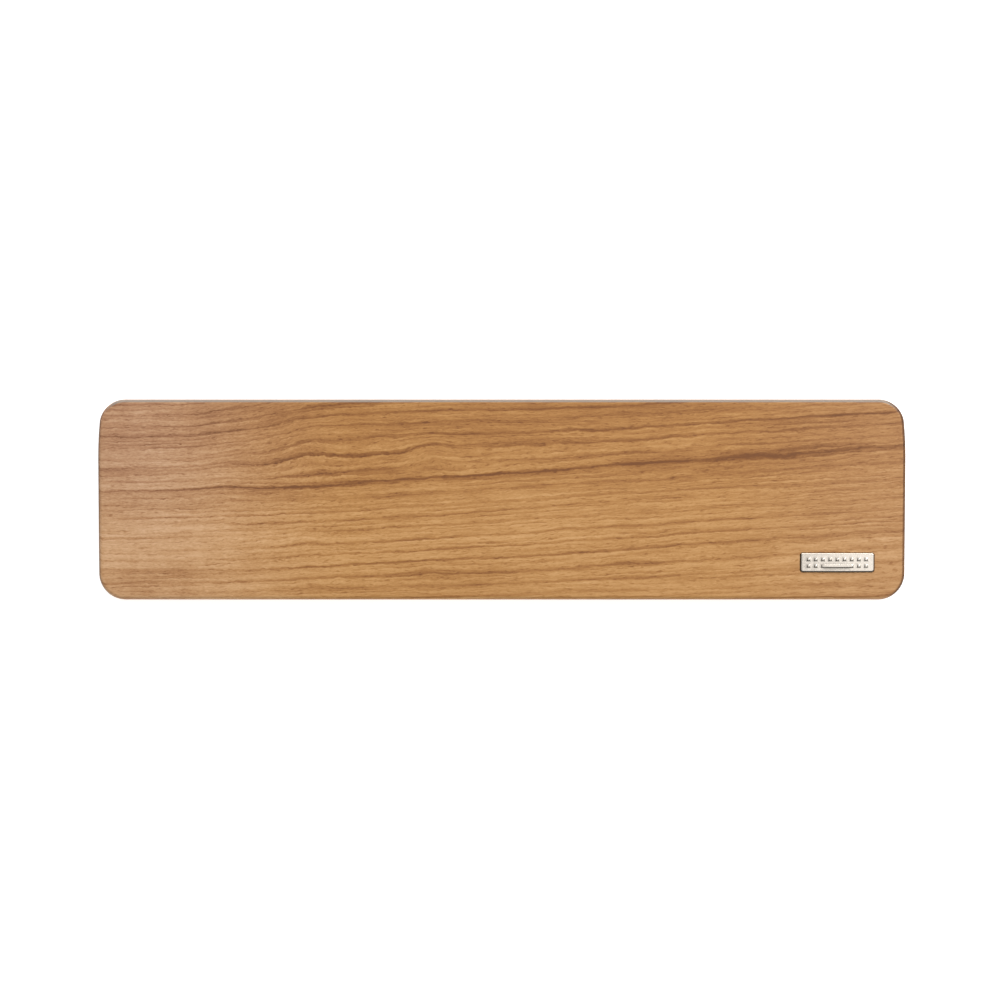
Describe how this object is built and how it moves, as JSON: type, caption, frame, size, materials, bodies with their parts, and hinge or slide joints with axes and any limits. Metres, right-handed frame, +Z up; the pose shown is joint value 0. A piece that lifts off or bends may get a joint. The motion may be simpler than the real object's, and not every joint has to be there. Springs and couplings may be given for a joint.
{
  "type": "keyboard wrist rest",
  "caption": "Wooden keyboard wrist rest: a long low timber wedge with round corners, a small metal badge let into the front right corner, and rubber feet.",
  "frame": {"origin": "on the desk, below the middle of the rest", "axes": "+X along the rest to the user's right, +Y away from the user towards the keyboard, +Z up"},
  "size_m": [0.32, 0.0794, 0.0171],
  "materials": {
    "oiled_walnut": "satin oil over fine grain",
    "polished_badge_metal": "polished nickel plate",
    "foot_rubber": "matt moulded",
    "adhesive_film": "translucent white film"
  },
  "bodies": {
    "root": {"wooden_board": "oiled_walnut", "badge_plate": "polished_badge_metal", "badge_adhesive_film": "adhesive_film", "foot_front_left": "foot_rubber", "foot_adhesive_front_left": "adhesive_film", "foot_front_centre": "foot_rubber", "foot_adhesive_front_centre": "adhesive_film", "foot_front_right": "foot_rubber", "foot_adhesive_front_right": "adhesive_film", "foot_rear_left": "foot_rubber", "foot_adhesive_rear_left": "adhesive_film", "foot_rear_centre": "foot_rubber", "foot_adhesive_rear_centre": "adhesive_film", "foot_rear_right": "foot_rubber", "foot_adhesive_rear_right": "adhesive_film"}
  },
  "joints": []
}
